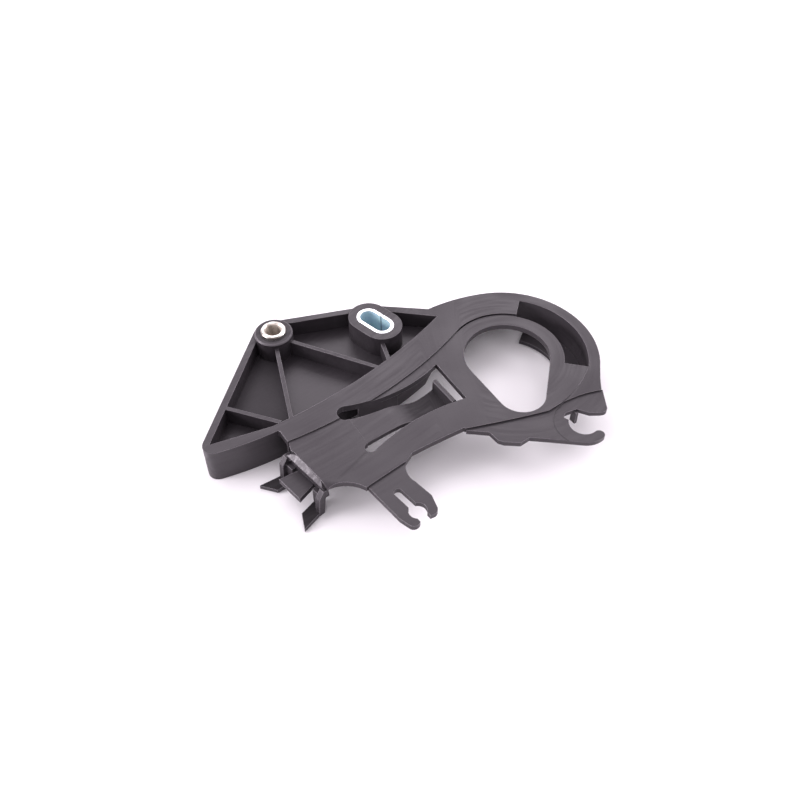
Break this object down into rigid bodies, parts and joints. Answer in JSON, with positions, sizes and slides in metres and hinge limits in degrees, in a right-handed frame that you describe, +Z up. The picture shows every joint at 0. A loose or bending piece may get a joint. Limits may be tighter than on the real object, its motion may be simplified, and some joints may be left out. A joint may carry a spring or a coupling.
{
  "type": "timing chain guide",
  "caption": "Moulded timing chain guide with a ribbed tray, sleeved fixing holes, a covered chain channel looping round a sprocket, a sprung latch tongue and clips along one side.",
  "frame": {"origin": "axis of the round sleeve on the mounting face under the tray", "axes": "+Z up out of the mounting face along the round sleeve, +X towards the slotted sleeve, +Y away from the clips"},
  "size_m": [0.1593, 0.113, 0.0193],
  "materials": {
    "moulding": "fine matt moulded glass filled nylon",
    "turned_steel": "turned, bright rim",
    "plated_steel": "rolled sheet, zinc plated with a blue tint"
  },
  "bodies": {
    "root": {"guide_body": "moulding", "round_sleeve": "turned_steel", "slotted_sleeve": "plated_steel"}
  },
  "joints": []
}
